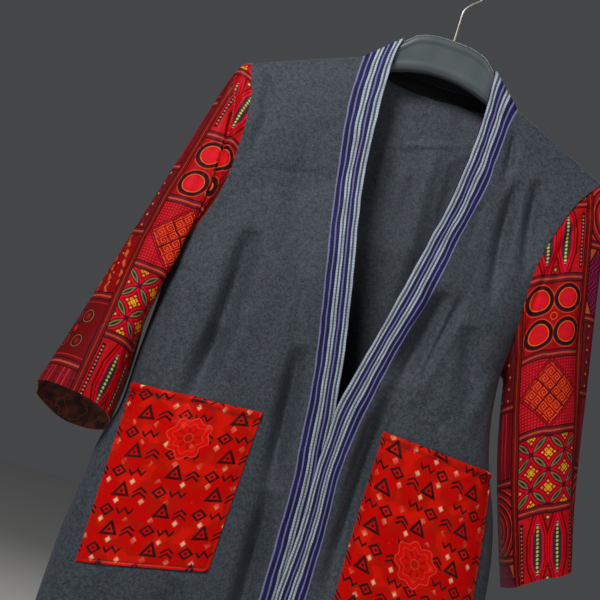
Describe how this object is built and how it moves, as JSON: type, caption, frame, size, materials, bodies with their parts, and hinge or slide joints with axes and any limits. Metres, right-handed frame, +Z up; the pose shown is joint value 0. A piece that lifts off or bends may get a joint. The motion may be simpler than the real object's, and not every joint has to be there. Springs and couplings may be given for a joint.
{
  "type": "open front kimono jacket on a hanger",
  "caption": "Open-fronted kimono jacket with printed three-quarter sleeves, striped neck and front band and patch pockets, hanging on a wide plastic hanger with a wire hook.",
  "frame": {"origin": "underside of the hook's crown, where a rod would touch it", "axes": "+Z up, the jacket hangs along -Z; -Y is the jacket's front; +X is to the right of someone who looks at the front"},
  "size_m": [0.649, 0.1148, 1.0277],
  "materials": {
    "body_cloth": "matt fine weave, slate charcoal",
    "band_cloth": "matt woven stripes, navy and white",
    "sleeve_cloth": "printed plain weave, red with dark and yellow motifs",
    "pocket_cloth": "satin weave, red with small dark motifs",
    "hanger_plastic": "satin moulded plastic, dark grey",
    "hook_wire": "bright drawn wire"
  },
  "bodies": {
    "root": {"back": "body_cloth", "band_back": "band_cloth", "front_left": "body_cloth", "band_left": "band_cloth", "sleeve_left": "sleeve_cloth", "pocket_left": "pocket_cloth", "front_right": "body_cloth", "band_right": "band_cloth", "sleeve_right": "sleeve_cloth", "pocket_right": "pocket_cloth", "hanger": "hanger_plastic", "hanger_hook": "hook_wire"}
  },
  "joints": []
}
